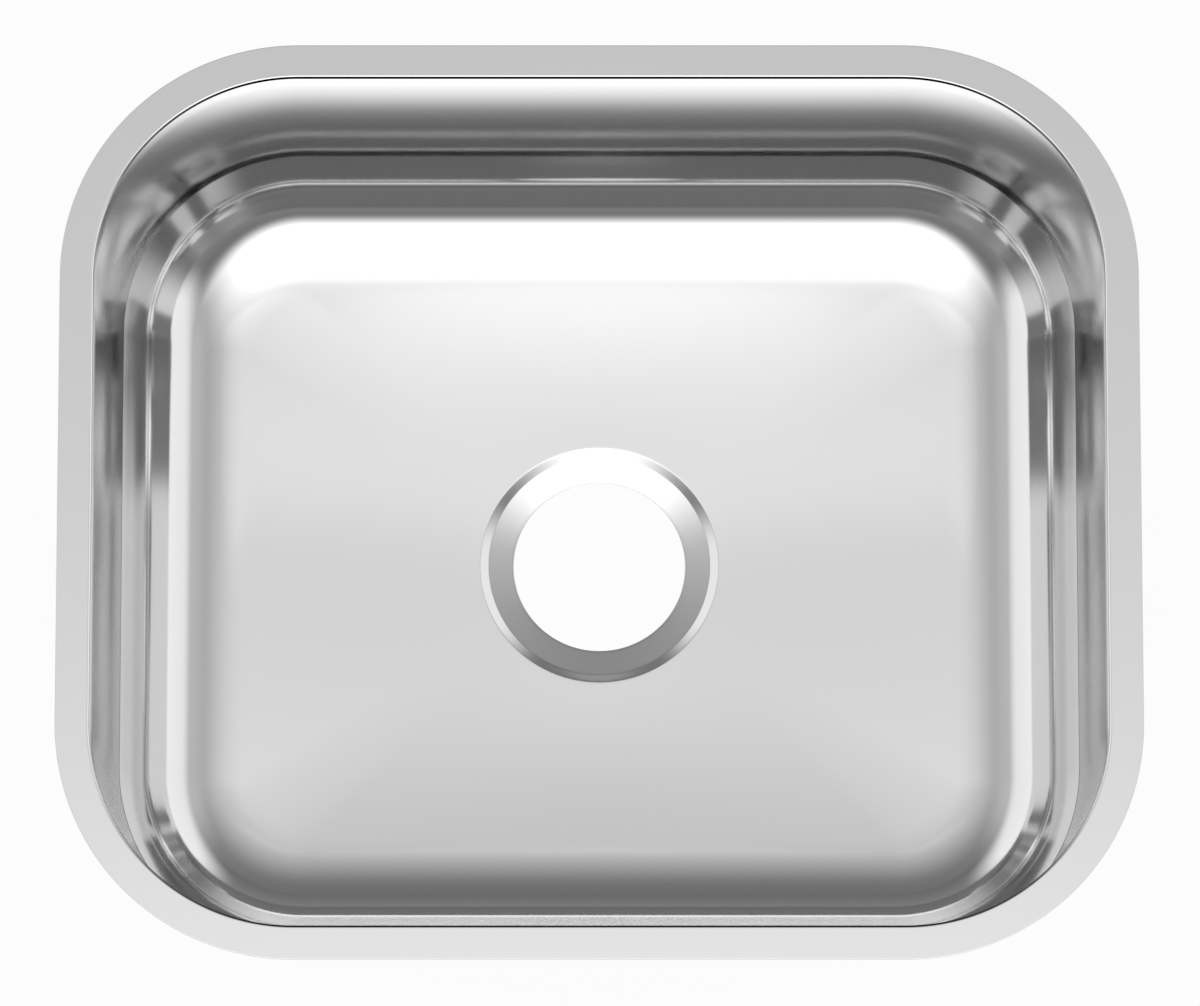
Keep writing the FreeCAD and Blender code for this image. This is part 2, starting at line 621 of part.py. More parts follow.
def make_claw(name, side, along):
    """A strip with an upturned tip. Its heel is round on the wall's side, so it stops when square."""
    body = new_body(f"{name}_claw")
    section = new_sketch(body, "XZ_Plane", f"{name}_claw_section")
    back, front = -size("heel_length"), size("claw_length")
    strip, top = size("claw_thickness"), size("claw_thickness + claw_rise")
    inner = front - strip
    shoulder = top - size("claw_tooth")
    outline = [(back, 0), (front, 0), (front, top), (inner, shoulder), (inner, strip), (back, strip)]
    under, outer, tooth, inside, upper, heel = polygon(section, outline)
    level(section, "Horizontal", [under, upper])
    level(section, "Vertical", [outer, inside, heel])
    section.addConstraint(Sketcher.Constraint("PointOnObject", under, START, -1))
    dimension(section, "DistanceX", [*ORIGIN, under, END], "claw_length", "length")
    dimension(section, "DistanceX", [under, START, *ORIGIN], "heel_length", "heel")
    dimension(section, "DistanceY", [heel, END, heel, START], "claw_thickness", "strip")
    dimension(section, "DistanceY", [outer, START, outer, END], "claw_thickness + claw_rise", "rise")
    dimension(section, "DistanceX", [tooth, END, tooth, START], "claw_thickness", "tip")
    dimension(section, "DistanceY", [tooth, END, tooth, START], "claw_tooth", "tooth")
    arm = feature(body, "Pad", f"{name}_claw_arm", section, Length="claw_width", Midplane=True)
    spots = {
        "heel": ((back, -size("claw_width / 2"), strip / 2), "claw_width / 2"),
        "inner": ((inner, 0, strip), "claw_bend"),
        "outer": ((front, 0, 0), "claw_bend + claw_thickness"),
    }
    for label, (middle, radius) in spots.items():
        arm = round_edge(body, f"{name}_claw_{label}", arm, middle, radius)
    doc.recompute()
    hole = new_sketch(body, "XY_Plane", f"{name}_claw_hole")
    circle(hole, "screw_diameter / 2 + hole_clearance", "hole")
    feature(body, "Pocket", f"{name}_claw_pierced", hole, Type="ThroughAll", Reversed=True)
    place(body, side, along, "screw_offset", "height - claw_depth")


CLAMPS = [
    # name, side and place along the side, which runs to the rear at the left and to the front at the right
    ("left_front", "left", "0 - clamp_spread"),
    ("left_rear", "left", "clamp_spread"),
    ("right_front", "right", "clamp_spread"),
    ("right_rear", "right", "0 - clamp_spread"),
]

make_bowl()
make_seal()
make_base_pad()
for side, length in (
    ("front", "long_pad_length"),
    ("rear", "long_pad_length"),
    ("left", "short_pad_length"),
    ("right", "short_pad_length"),
):
    make_wall_pad(side, length)
for clamp in CLAMPS:
    for make in (make_bracket, make_nut, make_screw, make_washer, make_claw):
        make(*clamp)
doc.recompute()

failed = [thing.Label for thing in doc.Objects if {"Invalid", "Error"} & set(thing.State)]
failed += [body.Label for body in subparts if body.Shape.isNull() or not body.Shape.isValid()]
if failed:
    raise RuntimeError(f"these failed: {failed}")

os.makedirs("parts", exist_ok=True)
for body in subparts:
    body.Shape.exportStep(f"parts/{body.Label}.step")
    print(body.Label, len(body.Shape.Solids), round(body.Shape.Volume, 1))
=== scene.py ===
# Inset kitchen bowl of pressed stainless sheet, seen from above, with its sealing strip, sound pads and
# clamps. Sizes in the dictionaries are millimetres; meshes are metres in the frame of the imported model.
import json
import math

import bpy
import numpy as np
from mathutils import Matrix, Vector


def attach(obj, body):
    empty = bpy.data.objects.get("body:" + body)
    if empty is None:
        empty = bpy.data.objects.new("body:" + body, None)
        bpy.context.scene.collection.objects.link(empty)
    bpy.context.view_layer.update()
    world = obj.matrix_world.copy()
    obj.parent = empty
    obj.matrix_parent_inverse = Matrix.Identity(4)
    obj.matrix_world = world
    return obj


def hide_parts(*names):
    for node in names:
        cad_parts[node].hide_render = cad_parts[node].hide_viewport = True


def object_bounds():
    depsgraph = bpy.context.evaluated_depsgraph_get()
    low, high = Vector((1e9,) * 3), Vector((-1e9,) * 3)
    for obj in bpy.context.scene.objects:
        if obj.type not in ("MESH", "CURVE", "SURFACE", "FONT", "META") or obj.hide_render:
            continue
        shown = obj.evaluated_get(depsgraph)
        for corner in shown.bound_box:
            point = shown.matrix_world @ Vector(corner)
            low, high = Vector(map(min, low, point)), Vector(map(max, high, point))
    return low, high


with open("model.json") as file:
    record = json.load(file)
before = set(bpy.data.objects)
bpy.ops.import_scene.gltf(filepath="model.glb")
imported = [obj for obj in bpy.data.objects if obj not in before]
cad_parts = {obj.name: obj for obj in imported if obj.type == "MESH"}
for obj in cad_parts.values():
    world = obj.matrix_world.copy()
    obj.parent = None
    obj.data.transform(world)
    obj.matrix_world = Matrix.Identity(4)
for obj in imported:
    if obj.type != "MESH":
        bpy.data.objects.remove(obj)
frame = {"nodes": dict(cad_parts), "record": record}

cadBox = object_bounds()
print("frame loaded:", len(frame["nodes"]), "nodes")
mm = 0.001  # in metres
topHeight = cadBox[1][2] / mm  # the flange's upper face


# meshes

def meshPiece(name, grids, body, node, material, flat=None):
    # Joins grids of points into one closed mesh. A grid is (points, closed across, closed along), with
    # points as rows by columns by xyz in mm. Each cell of a grid is a quad, and rows or columns that close
    # wrap round.
    corners, quads, start = [], [], 0
    for points, wrapRows, wrapColumns in grids:
        rows, columns = points.shape[:2]
        index = start + np.arange(rows * columns).reshape(rows, columns)
        if wrapRows:
            index = np.concatenate([index, index[:1]], 0)
        if wrapColumns:
            index = np.concatenate([index, index[:, :1]], 1)
        cell = np.stack([index[:-1, :-1], index[:-1, 1:], index[1:, 1:], index[1:, :-1]], -1)
        quads.append(cell.reshape(-1, 4))
        corners.append(points.reshape(-1, 3))
        start += rows * columns
    corners = np.concatenate(corners) * mm
    quads = np.concatenate(quads)
    # points that fall together become one, and a quad that loses a corner becomes a triangle
    _, first, merged = np.unique(np.round(corners, 8), axis=0, return_index=True, return_inverse=True)
    quads = merged.reshape(-1)[quads]
    corners = corners[first]
    same = quads == np.roll(quads, -1, axis=1)
    whole = quads[same.sum(1) == 0]
    short = quads[same.sum(1) == 1]
    short = short[~same[same.sum(1) == 1]].reshape(-1, 3)
    # the signed volume tells whether the faces look outward
    triangles = np.concatenate([whole[:, [0, 1, 2]], whole[:, [0, 2, 3]], short])
    if signedVolume(corners, triangles) < 0:
        whole, short = whole[:, ::-1], short[:, ::-1]
    mesh = bpy.data.meshes.new(name)
    mesh.vertices.add(len(corners))
    mesh.vertices.foreach_set("co", corners.astype(np.float32).ravel())
    loops = np.concatenate([whole.ravel(), short.ravel()])
    mesh.loops.add(len(loops))
    mesh.loops.foreach_set("vertex_index", loops.astype(np.int32))
    sizes = np.concatenate([np.full(len(whole), 4), np.full(len(short), 3)])
    starts = np.concatenate([[0], np.cumsum(sizes)[:-1]])
    mesh.polygons.add(len(sizes))
    mesh.polygons.foreach_set("loop_start", starts.astype(np.int32))
    mesh.polygons.foreach_set("use_smooth", np.ones(len(sizes), dtype=bool))
    mesh.update(calc_edges=True)
    mesh.validate()
    mesh.materials.append(material)
    if flat is not None:
        layer = mesh.attributes.new("flat", "FLOAT_VECTOR", "POINT")
        layer.data.foreach_set("vector", flat.reshape(-1, 3)[first].astype(np.float32).ravel())
    piece = bpy.data.objects.new(name, mesh)
    bpy.context.scene.collection.objects.link(piece)
    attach(piece, body)
    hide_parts(node)
    return piece


def signedVolume(corners, triangles):
    # a sixth of the sum of a . (b x c) over triangles
    a, b, c = (corners[triangles[:, i]] for i in range(3))
    return float(np.einsum("ij,ij->i", a, np.cross(b, c)).sum() / 6)


def roundedOutline(halfX, halfY, radius, perCorner, alongX, alongY):
    # Closed outline of a rounded rectangle and its outward directions. A corner is its centre plus radius
    # times the direction at each angle; a side runs straight from one corner to the next.
    spots, outs = [], []
    signs = [(1, 1), (-1, 1), (-1, -1), (1, -1)]
    inner = np.array([halfX - radius, halfY - radius])
    for turn, sign in enumerate(signs):
        angle = np.linspace(0, np.pi / 2, perCorner + 1) + turn * np.pi / 2
        out = np.stack([np.cos(angle), np.sin(angle)], 1)
        here = inner * sign + radius * out
        after = inner * signs[(turn + 1) % 4] + radius * out[-1]
        share = np.linspace(0, 1, (alongX, alongY)[turn % 2] + 1)[1:-1, None]
        side = here[-1] + (after - here[-1]) * share
        spots += [here, side]
        outs += [out, np.repeat(out[-1:], len(side), 0)]
    return np.concatenate(spots), np.concatenate(outs)


def filletLine(corners, radii, perArc, perLine):
    # Line through corners with a tangent arc of its own radius at each inner corner, as points and their
    # normals to the left. An arc starts radius * tan(half the turn) before its corner and turns about a
    # centre one radius to the side.
    corners = np.array(corners, float)
    ways = np.diff(corners, axis=0)
    ways /= np.linalg.norm(ways, axis=1)[:, None]
    lefts = np.stack([-ways[:, 1], ways[:, 0]], 1)
    points, normals = [], []
    here = corners[0]
    for i, radius in enumerate(radii):
        before, after = ways[i], ways[i + 1]
        turn = math.atan2(before[0] * after[1] - before[1] * after[0], float(before @ after))
        arcStart = corners[i + 1] - before * radius * abs(math.tan(turn / 2))
        share = np.linspace(0, 1, perLine[i] + 1)[:-1, None]
        points.append(here + (arcStart - here) * share)
        normals.append(np.repeat(lefts[i:i + 1], perLine[i], 0))
        sweep = np.linspace(0, turn, perArc[i] + 1)
        normal = np.stack([lefts[i, 0] * np.cos(sweep) - lefts[i, 1] * np.sin(sweep),
                           lefts[i, 0] * np.sin(sweep) + lefts[i, 1] * np.cos(sweep)], 1)
        side = radius * np.sign(turn)
        centre = arcStart + side * lefts[i]
        points.append((centre - side * normal)[:-1])
        normals.append(normal[:-1])
        here = centre - side * normal[-1]
    share = np.linspace(0, 1, perLine[-1] + 1)[:, None]
    points.append(here + (corners[-1] - here) * share)
    normals.append(np.repeat(lefts[-1:], perLine[-1] + 1, 0))
    return np.concatenate(points), np.concatenate(normals)


def withHeights(flat, height):
    # rows of flat points, each row at its own height
    return np.concatenate([flat, np.broadcast_to(height[:, None, None], flat.shape[:2] + (1,))], 2)


def alongOutline(spots, outs, profile):
    # carries a profile of (inset, height) round an outline: outline minus inset times its outward direction
    return withHeights(spots[None] - profile[:, 0, None, None] * outs[None], profile[:, 1])


# materials

def hexColor(text):
    # sRGB hex to linear, with alpha
    values = np.array([int(text[i:i + 2], 16) for i in (1, 3, 5)]) / 255
    linear = np.where(values <= 0.04045, values / 12.92, ((values + 0.055) / 1.055) ** 2.4)
    return (*linear.tolist(), 1.0)


def addNode(tree, kind, inputs=None, **settings):
    # inputs may be values, or sockets to link from
    node = tree.nodes.new("ShaderNode" + kind)
    for key, value in settings.items():
        setattr(node, key, value)
    for key, value in (inputs or {}).items():
        if isinstance(value, bpy.types.NodeSocket):
            tree.links.new(value, node.inputs[key])
        else:
            node.inputs[key].default_value = value
    return node


def newMaterial(name):
    material = bpy.data.materials.new(name)
    material.use_nodes = True
    tree = material.node_tree
    tree.nodes.clear()
    return material, tree


# Stainless steel 18/10, deep drawn and satin ground: a grey mirror, blurred, with a faint fine grain. The
# grain is about 1 mm, coarser than the real one so that it shows. The outside keeps a duller mill finish.
satinSteel, tree = newMaterial("satinSteel")
place = addNode(tree, "TexCoord").outputs["Object"]
shown = addNode(tree, "Attribute", attribute_name="flat").outputs["Vector"]
faces = addNode(tree, "SeparateXYZ", {"Vector": shown})
# Z carries the painted dark reflection line on the rim's arc
inside, rim, paintedDarkReflection = faces.outputs["X"], faces.outputs["Y"], faces.outputs["Z"]
grain = addNode(tree, "TexNoise", {"Vector": place, "Scale": 900.0, "Detail": 3.0}).outputs["Fac"]
cloud = addNode(tree, "TexNoise", {"Vector": place, "Scale": 9.0, "Detail": 2.0}).outputs["Fac"]
polish = addNode(tree, "MapRange", {"Value": grain, "To Min": 0.09, "To Max": 0.12}).outputs["Result"]
# the rim is burnished by the die
polish = addNode(tree, "Mix", {"Factor": rim, "A": polish, "B": 0.05}).outputs["Result"]
mill = addNode(tree, "MapRange", {"Value": cloud, "To Min": 0.34, "To Max": 0.46}).outputs["Result"]
rough = addNode(tree, "Mix", {"Factor": inside, "A": mill, "B": polish}).outputs["Result"]
# painted reflection: a thin dark line along the turned edge, painted into the steel's colour in place of
# dark surroundings mirrored by the rim
tint = addNode(tree, "Mix", {"Factor": paintedDarkReflection, "A": hexColor("#dcdcdc"), "B": hexColor("#0c0c0c")},
               data_type="RGBA").outputs["Result"]
shader = addNode(tree, "BsdfPrincipled", {"Base Color": tint, "Metallic": 1.0, "Roughness": rough})
addNode(tree, "OutputMaterial", {"Surface": shader.outputs["BSDF"]})

# Mild steel, bright zinc plated: bluish grey, soft gloss, slightly cloudy over about 5 mm
zincSteel, tree = newMaterial("zincSteel")
place = addNode(tree, "TexCoord").outputs["Object"]
cloud = addNode(tree, "TexNoise", {"Vector": place, "Scale": 220.0, "Detail": 4.0}).outputs["Fac"]
tint = addNode(tree, "Mix", {"Factor": cloud, "A": hexColor("#b9bec4"), "B": hexColor("#cfcfc8")},
               data_type="RGBA").outputs["Result"]
rough = addNode(tree, "MapRange", {"Value": cloud, "To Min": 0.24, "To Max": 0.4}).outputs["Result"]
shader = addNode(tree, "BsdfPrincipled", {"Base Color": tint, "Metallic": 1.0, "Roughness": rough})
addNode(tree, "OutputMaterial", {"Surface": shader.outputs["BSDF"]})

# EPDM foam strip: black, matt, with fine closed cells of about 0.6 mm
foamRubber, tree = newMaterial("foamRubber")
place = addNode(tree, "TexCoord").outputs["Object"]
cells = addNode(tree, "TexVoronoi", {"Vector": place, "Scale": 1600.0}).outputs["Distance"]
bump = addNode(tree, "Bump", {"Height": cells, "Strength": 0.5, "Distance": 0.2 * mm}).outputs["Normal"]
shader = addNode(tree, "BsdfPrincipled", {"Base Color": hexColor("#252526"), "Roughness": 0.85,
                                          "Normal": bump})
addNode(tree, "OutputMaterial", {"Surface": shader.outputs["BSDF"]})

# Butyl rubber sound pad, pressed with a waffle of 6 mm squares: dark grey, matt, dusty in the grooves
matRubber, tree = newMaterial("matRubber")
flat = addNode(tree, "Attribute", attribute_name="flat").outputs["Vector"]
place = addNode(tree, "TexCoord").outputs["Object"]
squares = addNode(tree, "TexVoronoi", {"Vector": flat, "Scale": 1 / (6 * mm), "Randomness": 0.0},
                  voronoi_dimensions="2D", distance="CHEBYCHEV").outputs["Distance"]
raised = addNode(tree, "MapRange", {"Value": squares, "From Min": 0.36, "From Max": 0.46, "To Min": 1.0,
                                    "To Max": 0.0}, interpolation_type="SMOOTHSTEP").outputs["Result"]
dust = addNode(tree, "TexNoise", {"Vector": place, "Scale": 60.0, "Detail": 5.0}).outputs["Fac"]
worn = addNode(tree, "Math", {0: raised, 1: dust}, operation="MULTIPLY").outputs["Value"]
tint = addNode(tree, "Mix", {"Factor": worn, "A": hexColor("#4b4a49"), "B": hexColor("#2c2c2d")},
               data_type="RGBA").outputs["Result"]
rough = addNode(tree, "MapRange", {"Value": dust, "To Min": 0.6, "To Max": 0.85}).outputs["Result"]
bump = addNode(tree, "Bump", {"Height": raised, "Strength": 0.8, "Distance": 0.5 * mm}).outputs["Normal"]
shader = addNode(tree, "BsdfPrincipled", {"Base Color": tint, "Roughness": rough, "Normal": bump})
addNode(tree, "OutputMaterial", {"Surface": shader.outputs["BSDF"]})
print("materials ready")


# bowl

bowl = dict(length=400.0, width=340.0, corner=80.5, flange=13.5, sheet=0.8, rim=1.2, upperDepth=107.0,
            draft=3.5, crease=1.5, middle=8.3, middleSlope=60.0, bend=30.0, lowerDepth=30.7,
            lowerDraft=48.5, floorFillet=29.0, skirtSlope=16.5, skirtFlat=0.5, skirtRadius=78.0,
            floorFall=2.4, floorSlope=3.5, floorDish=2.3, seatRadius=48.7, bevelWidth=3.4, bevelDepth=1.5,
            seatFall=2.1, drainRadius=35.0, seatRim=1.0, seatFoot=1.4, seatLead=3.0, edge=0.2)
bowlSteps = dict(perCorner=48, alongX=28, alongY=24)


def bowlSurface(size):
    # The sheet's upper face: a profile of flange, rim, creased wall, fillet and skirt, carried round the
    # rounded rectangle, then a shallow dish from the floor's edge to a circle, then a bevelled ring about
    # the drain. The underside is the same face moved along its normals by the sheet, and both cut edges
    # are rounded.
    spots, outs = roundedOutline(size["length"] / 2, size["width"] / 2, size["corner"], **bowlSteps)
    edge, sheet, upperDepth = size["edge"], size["sheet"], size["upperDepth"]
    wallInset = upperDepth * math.tan(math.radians(size["draft"]))
    middleDrop = size["middle"] * math.tan(math.radians(size["middleSlope"]))
    skirtTurn = math.radians(size["skirtSlope"])
    filletTurn = math.radians(90 - size["lowerDraft"] - size["skirtSlope"])
    skirtReach = size["skirtRadius"] * math.tan(skirtTurn / 2)
    skirtLength = size["floorFillet"] * math.tan(filletTurn / 2) + size["skirtFlat"] + skirtReach
    lowerDrop = size["lowerDepth"] - middleDrop - skirtLength * math.sin(skirtTurn)
    bendDepth = upperDepth + middleDrop
    floorDepth = upperDepth + size["lowerDepth"]
    bend = wallInset + size["middle"]
    foot = bend + lowerDrop * math.tan(math.radians(size["lowerDraft"]))
    heel = foot + skirtLength * math.cos(skirtTurn)
    floorInset = heel + skirtReach
    edgeDrop = skirtReach * math.tan(math.radians(size["floorSlope"]))
    corners = [(edge - size["flange"], 0), (0, 0), (wallInset, -upperDepth), (bend, -bendDepth),
               (foot, -bendDepth - lowerDrop), (heel, -floorDepth), (floorInset, -floorDepth - edgeDrop)]
    radii = [size["rim"], size["crease"], size["bend"], size["floorFillet"], size["skirtRadius"]]
    flangeRows, rimRows = 3, 14
    wall, wallUp = filletLine(corners, radii, perArc=[rimRows, 14, 14, 30, 8],
                              perLine=[flangeRows, 10, 3, 3, 1, 0])
    # rows close to both ends of the flange keep it flat to the eye
    close = 0.1
    wall[1:flangeRows, 0] = wall[0, 0] + close, wall[flangeRows, 0] - close
    under = wall - sheet * wallUp
    # drain seat, in (minus radius, height), from a little way out on the floor
    seatDepth = floorDepth + size["floorFall"]
    flatRadius = size["seatRadius"] - size["bevelWidth"]
    flatDepth = seatDepth + size["bevelDepth"]
    seatCorners = [(-size["seatRadius"] - size["seatLead"], -seatDepth), (-size["seatRadius"], -seatDepth),
                   (-flatRadius, -flatDepth), (-size["drainRadius"] - edge, -flatDepth - size["seatFall"])]
    seat, seatUp = filletLine(seatCorners, [size["seatRim"], size["seatFoot"]], perArc=[8, 8],
                              perLine=[3, 3, 8])
    seatUnder = seat - sheet * seatUp
    turn = np.linspace(0, np.pi / 2, 4)

    def cutEdge(upper, lower, way):
        # a cut edge is two quarter turns between the two faces
        first = upper + edge * np.stack([way * np.sin(turn), np.cos(turn) - 1], 1)
        last = lower + edge * np.stack([way * np.cos(turn), 1 - np.sin(turn)], 1)
        return np.concatenate([first[1:], last[:-1]])

    holeEdge = cutEdge(seat[-1], seatUnder[-1], 1)
    flangeEdge = cutEdge(wall[0], under[0], -1)[::-1]
    floorRing = spots - floorInset * outs
    angle = np.arctan2(floorRing[:, 1], floorRing[:, 0])
    ray = np.stack([np.cos(angle), np.sin(angle)], 1)

    def ring(profile):
        # turns a profile about the drain's axis, at the angles of the floor's edge
        return withHeights(-profile[:, 0, None, None] * ray[None], profile[:, 1])

    # the floor's height falls by 1 - (1 - share) ** dish on its way in
    floorRows = 21
    share = np.linspace(0, 1, floorRows + 2)[1:-1, None, None]
    edgeRow = alongOutline(spots, outs, wall[-1:])
    dish = np.concatenate([share, share, 1 - (1 - share) ** size["floorDish"]], 2)
    floor = edgeRow + (ring(seat[:1]) - edgeRow) * dish
    rows = [alongOutline(spots, outs, wall), floor, ring(seat), ring(holeEdge), ring(seatUnder[::-1]),
            (floor - [0, 0, sheet])[::-1], alongOutline(spots, outs, under[::-1]),
            alongOutline(spots, outs, flangeEdge)]
    surface = np.concatenate(rows)
    # what the steel reads: X is the upper face, Y the rim's arc, and Z the painted dark reflection line,
    # which starts a third of the way round the arc and fades out towards the short sides
    shown = np.zeros(surface.shape)
    rimEnd = flangeRows + rimRows
    shown[:len(wall) + len(floor) + len(seat), :, 0] = 1.0
    shown[flangeRows:rimEnd, :, 1] = 1.0
    # painted dark reflection on the rim's arc, strongest on the long front and rear sides
    shown[flangeRows + 4:rimEnd - 1, :, 2] = outs[:, 1] ** 2
    return surface + [0, 0, topHeight], shown, wall[-1]


surface, shown, floorEdge = bowlSurface(bowl)
bowlPiece = meshPiece("sinkBowl", [(surface, True, True)], "sink", "bowl", satinSteel, shown)
print("bowl:", len(bowlPiece.data.polygons), "faces")


# sealing strip, glued under the flange

strip = dict(edgeGap=0.7, width=4.8, thickness=2.5, corner=0.9, bevel=0.2)


def stripSurface(size):
    # a strip with a flat top and rounded lower edges: its section is carried round the flange
    spots, outs = roundedOutline(bowl["length"] / 2, bowl["width"] / 2, bowl["corner"], perCorner=32,
                                 alongX=40, alongY=34)
    outer = -bowl["flange"] + size["edgeGap"]
    inner = outer + size["width"]
    low, bevel = -size["thickness"], size["bevel"]
    corners = [(outer, -bevel), (outer, low), (inner, low), (inner, -bevel)]
    section, _ = filletLine(corners, [size["corner"]] * 2, perArc=[6, 6], perLine=[2, 4, 2])
    section = np.concatenate([[(outer + bevel, 0.0)], section, [(inner - bevel, 0.0)]])
    return alongOutline(spots, outs, section) + [0, 0, topHeight - bowl["sheet"]]


sealPiece = meshPiece("sealingStrip", [(stripSurface(strip), True, True)], "sink", "flange_seal",
                      foamRubber)
print("sealing strip ready")


# sound pads

pads = dict(longSide=150.0, shortSide=100.0, height=34.0, depth=60.0, thickness=2.0, corner=8.0, edge=0.7,
            glue=0.2, baseLength=220.0, baseWidth=160.0, baseCorner=25.0, baseHoleGap=6.0, baseEdge=0.35,
            baseLip=0.4)


def plateGrid(spots, outs, holeRadius, lip, thickness, edge, across):
    # A plate about the origin with rounded edges: straight lines run out from the hole, or from the middle,
    # to the outline on both faces, and quarter circles turn the outer edge. A hole has a small bevel, lip.
    angle = np.arctan2(spots[:, 1], spots[:, 0])
    ray = np.stack([np.cos(angle), np.sin(angle)], 1)
    start = (holeRadius + lip) * ray
    end = spots - edge * outs
    share = np.linspace(0, 1, across + 1)[:, None, None]
    face = start + (end - start) * share
    turn = np.linspace(0, np.pi / 2, 5)[1:]
    rim = end[None] + edge * np.sin(turn)[:, None, None] * outs[None]
    rows = [face, rim, rim[::-1], face[::-1]]
    heights = [np.zeros(len(face)), edge - edge * np.cos(turn),
               thickness - edge + edge * np.cos(turn[::-1]), np.full(len(face), thickness)]
    if holeRadius:
        rows.append(np.repeat(holeRadius * ray[None], 2, 0))
        heights.append(np.array([thickness - lip, lip]))
    return withHeights(np.concatenate(rows), np.concatenate(heights))


def toSide(points, side, along, out, up):
    # from the frame of a side (along the wall, outward from the opening, up) to the frame of the model
    turn = math.radians({"rear": 0, "left": 90, "front": 180, "right": 270}[side])
    half = bowl["width"] / 2 if side in ("rear", "front") else bowl["length"] / 2
    cosine, sine = round(math.cos(turn)), round(math.sin(turn))
    x, y = points[..., 0] + along, points[..., 1] + half + out
    return np.stack([cosine * x - sine * y, sine * x + cosine * y, points[..., 2] + up], -1)


def wallPad(size, side, length):
    # a flat plate leaned against the wall's outer face, with its upper edge at a depth below the flange
    spots, outs = roundedOutline(length / 2, size["height"] / 2, size["corner"], perCorner=10, alongX=24,
                                 alongY=6)
    plate = plateGrid(spots, outs, 0.0, 0.0, size["thickness"], size["edge"], across=10)
    lean = math.radians(bowl["draft"])
    gap = bowl["sheet"] + size["glue"]
    halfHeight = size["height"] / 2
    middleOut = gap / math.cos(lean) - size["depth"] * math.tan(lean) - halfHeight * math.sin(lean)
    middleUp = -size["depth"] - halfHeight * math.cos(lean)
    x, y, z = plate[..., 0], plate[..., 1], plate[..., 2]
    leaned = np.stack([x, middleOut + y * math.sin(lean) + z * math.cos(lean),
                       middleUp + y * math.cos(lean) - z * math.sin(lean)], -1)
    return toSide(leaned, side, 0.0, 0.0, topHeight), plate * mm


def basePad(size):
    # A plate about the drain. It starts one unit thick and is stretched, so that its upper face follows the
    # floor's dish between the floor's edge and the drain seat. Its lower face is flat.
    spots, outs = roundedOutline(size["baseLength"] / 2, size["baseWidth"] / 2, size["baseCorner"],
                                 perCorner=16, alongX=40, alongY=30)
    seatRadius, spacing = bowl["seatRadius"], bowl["sheet"] + size["glue"]
    plate = plateGrid(spots, outs, seatRadius + size["baseHoleGap"], size["baseLip"], 1.0,
                      size["baseEdge"], across=12)
    radius = np.hypot(plate[..., 0], plate[..., 1])
    angle = np.arctan2(plate[..., 1], plate[..., 0])
    edgeSpots, edgeOuts = roundedOutline(bowl["length"] / 2, bowl["width"] / 2, bowl["corner"], **bowlSteps)
    edgeSpots = edgeSpots - floorEdge[0] * edgeOuts
    edgeAngle = np.arctan2(edgeSpots[:, 1], edgeSpots[:, 0])
    order = np.argsort(edgeAngle)
    edgeReach = np.hypot(edgeSpots[:, 0], edgeSpots[:, 1])
    reach = np.interp(angle, edgeAngle[order], edgeReach[order], period=2 * np.pi)
    seatDepth = bowl["upperDepth"] + bowl["lowerDepth"] + bowl["floorFall"]
    rest = (radius - seatRadius) / (reach - seatRadius)
    fall = (seatDepth + floorEdge[1]) * (1 - rest ** bowl["floorDish"])
    under = topHeight + floorEdge[1] - spacing
    low = topHeight - seatDepth - spacing - size["thickness"]
    height = low + plate[..., 2] * (under - fall - low)
    return np.stack([plate[..., 0], plate[..., 1], height], -1), plate * mm


for side, length in (("front", pads["longSide"]), ("rear", pads["longSide"]),
                     ("left", pads["shortSide"]), ("right", pads["shortSide"])):
    surface, flat = wallPad(pads, side, length)
    piece = meshPiece(side + "Pad", [(surface, True, True)], "sink", side + "_pad",
                      matRubber, flat)
surface, flat = basePad(pads)
piece = meshPiece("basePad", [(surface, True, True)], "sink", "base_pad", matRubber, flat)
print("sound pads ready")


# clamp screws

screw = dict(head=3.5, headHeight=2.6, slot=1.2, slotDepth=1.1, shank=2.0, length=25.0, pitch=0.7,
             threadDepth=0.42, plain=0.9, point=0.5, edge=0.3, chamfer=0.25, offset=3.908, seatDepth=52.9)


